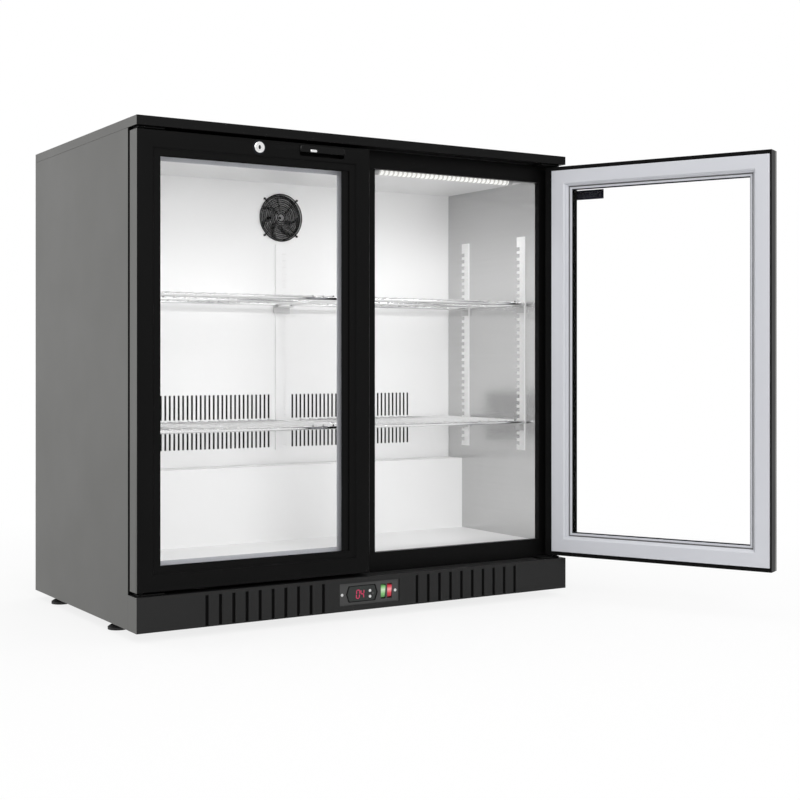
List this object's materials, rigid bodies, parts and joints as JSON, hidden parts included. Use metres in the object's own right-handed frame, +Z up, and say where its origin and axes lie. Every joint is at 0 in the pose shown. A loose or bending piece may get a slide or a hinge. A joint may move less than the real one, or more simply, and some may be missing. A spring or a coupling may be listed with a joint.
{
  "type": "undercounter refrigerator",
  "caption": "Black undercounter bar bottle cooler with framed glass doors, lit white interior, wire shelves, recessed pulls, door locks and a slotted kick plate with a digital thermostat.",
  "frame": {"origin": "on the floor, under the middle of the cabinet footprint (the open right door is not counted)", "axes": "+X along the front to the right as seen by a person facing the doors, +Y from the doors to the rear, +Z up"},
  "size_m": [1.0888, 0.9116, 0.865],
  "materials": {
    "body_dark": "fine textured dark grey powder coat",
    "worktop_black": "satin black powder coat",
    "frame_black": "satin black",
    "liner_white": "white painted sheet",
    "liner_side": "satin stucco sheet",
    "foam": "raw polyurethane foam",
    "zinc": "galvanised sheet",
    "wire_chrome": "bright plated wire",
    "coil_metal": "bare fins",
    "machine_black": "satin black",
    "black_plastic": "moulded black",
    "grey_plastic": "moulded grey",
    "trim_silver": "silver grey",
    "gasket_grey": "soft grey PVC",
    "pane": "clear",
    "spacer_dark": "anodised",
    "lamp": "lit diffuser",
    "copper": "bare copper tube",
    "display_black": "gloss black",
    "key_white": "white",
    "rocker_green": "lit translucent green",
    "rocker_red": "lit translucent red",
    "foot_rubber": "black",
    "lock_metal": "plated"
  },
  "bodies": {
    "cabinet": {"side_panel_left": "body_dark", "side_panel_right": "body_dark", "worktop": "worktop_black", "rear_panel": "body_dark", "base_pan": "zinc", "bulkhead": "zinc", "insulation": "foam", "liner_left": "liner_side", "liner_right": "liner_side", "liner_wrap": "liner_white", "front_frame": "frame_black", "centre_mullion": "frame_black", "kick_plate": "frame_black", "hinge_plates": "body_dark", "rear_grille": "body_dark", "cable_gland": "black_plastic", "control_bezel": "grey_plastic", "thermostat": "display_black", "evaporator_cover": "liner_white", "evaporator_coil": "coil_metal", "evaporator_fan_frame": "black_plastic", "fan_guard": "machine_black", "drain_tray": "grey_plastic", "led_bars": "lamp", "pilasters": "liner_white", "shelf_clips": "zinc", "compressor": "machine_black", "condenser_coil": "machine_black", "condenser_fan_frame": "black_plastic", "refrigerant_lines": "copper", "condensate_tray": "black_plastic"},
    "left_door": {"left_door_frame": "frame_black", "left_door_trim": "trim_silver", "left_door_spacer": "spacer_dark", "left_door_glass": "pane", "left_door_gasket": "gasket_grey", "left_lock_barrel": "lock_metal"},
    "left_lock": {"left_lock_plug": "lock_metal"},
    "right_door": {"right_door_frame": "frame_black", "right_door_trim": "trim_silver", "right_door_spacer": "spacer_dark", "right_door_glass": "pane", "right_door_gasket": "gasket_grey", "right_lock_barrel": "lock_metal"},
    "right_lock": {"right_lock_plug": "lock_metal"},
    "evaporator_rotor": {"evaporator_fan": "black_plastic"},
    "condenser_rotor": {"condenser_fan": "black_plastic"},
    "levelling_front_left": {"foot_front_left": "foot_rubber"},
    "levelling_front_right": {"foot_front_right": "foot_rubber"},
    "levelling_rear_left": {"foot_rear_left": "foot_rubber"},
    "levelling_rear_right": {"foot_rear_right": "foot_rubber"},
    "rack_left_low": {"shelf_left_low": "wire_chrome"},
    "rack_left_high": {"shelf_left_high": "wire_chrome"},
    "rack_right_low": {"shelf_right_low": "wire_chrome"},
    "rack_right_high": {"shelf_right_high": "wire_chrome"},
    "light_switch": {"light_rocker": "rocker_green"},
    "power_switch": {"power_rocker": "rocker_red"},
    "button_up": {"key_up": "key_white"},
    "button_set": {"key_set": "key_white"},
    "button_down": {"key_down": "key_white"}
  },
  "joints": [
    {"name": "left_door_swing", "type": "hinge", "parent": "cabinet", "child": "left_door", "pos_m": [-0.436, -0.245, 0.462], "axis": [0, 0, -1], "range_deg": [0, 116]},
    {"name": "right_door_swing", "type": "hinge", "parent": "cabinet", "child": "right_door", "pos_m": [0.436, -0.245, 0.462], "axis": [0, 0, 1], "range_deg": [-116, 0]},
    {"name": "left_lock_turn", "type": "hinge", "parent": "left_door", "child": "left_lock", "pos_m": [-0.226, -0.26, 0.829], "axis": [0, -1, 0], "range_deg": [0, 90]},
    {"name": "right_lock_turn", "type": "hinge", "parent": "right_door", "child": "right_lock", "pos_m": [0.54154, -0.42717, 0.829], "axis": [-0.8988, -0.4384, 0], "range_deg": [0, 90]},
    {"name": "evaporator_fan_spin", "type": "hinge", "parent": "cabinet", "child": "evaporator_rotor", "pos_m": [0, 0.1, 0.751], "axis": [0, 1, 0], "continuous": true},
    {"name": "condenser_fan_spin", "type": "hinge", "parent": "cabinet", "child": "condenser_rotor", "pos_m": [0.2, 0.14, 0.0962], "axis": [0, 1, 0], "continuous": true},
    {"name": "foot_front_left_screw", "type": "hinge", "parent": "cabinet", "child": "levelling_front_left", "pos_m": [-0.428, -0.122, 0], "axis": [0, 0, 1], "continuous": true},
    {"name": "foot_front_right_screw", "type": "hinge", "parent": "cabinet", "child": "levelling_front_right", "pos_m": [0.428, -0.122, 0], "axis": [0, 0, 1], "continuous": true},
    {"name": "foot_rear_left_screw", "type": "hinge", "parent": "cabinet", "child": "levelling_rear_left", "pos_m": [-0.428, 0.174, 0], "axis": [0, 0, 1], "continuous": true},
    {"name": "foot_rear_right_screw", "type": "hinge", "parent": "cabinet", "child": "levelling_rear_right", "pos_m": [0.428, 0.174, 0], "axis": [0, 0, 1], "continuous": true},
    {"name": "shelf_left_low_lift", "type": "slide", "parent": "cabinet", "child": "rack_left_low", "axis": [0, 0, 1], "range_m": [0, 0.02]},
    {"name": "shelf_left_high_lift", "type": "slide", "parent": "cabinet", "child": "rack_left_high", "axis": [0, 0, 1], "range_m": [0, 0.02]},
    {"name": "shelf_right_low_lift", "type": "slide", "parent": "cabinet", "child": "rack_right_low", "axis": [0, 0, 1], "range_m": [0, 0.02]},
    {"name": "shelf_right_high_lift", "type": "slide", "parent": "cabinet", "child": "rack_right_high", "axis": [0, 0, 1], "range_m": [0, 0.02]},
    {"name": "light_rocker_tilt", "type": "hinge", "parent": "cabinet", "child": "light_switch", "pos_m": [0.027, -0.2535, 0.0445], "axis": [1, 0, 0], "range_deg": [-16, 0]},
    {"name": "power_rocker_tilt", "type": "hinge", "parent": "cabinet", "child": "power_switch", "pos_m": [0.0405, -0.2535, 0.0445], "axis": [1, 0, 0], "range_deg": [-16, 0]},
    {"name": "key_up_press", "type": "slide", "parent": "cabinet", "child": "button_up", "axis": [0, 1, 0], "range_m": [0, 0.001], "stiffness_N_per_m": 200},
    {"name": "key_set_press", "type": "slide", "parent": "cabinet", "child": "button_set", "axis": [0, 1, 0], "range_m": [0, 0.001], "stiffness_N_per_m": 200},
    {"name": "key_down_press", "type": "slide", "parent": "cabinet", "child": "button_down", "axis": [0, 1, 0], "range_m": [0, 0.001], "stiffness_N_per_m": 200}
  ]
}
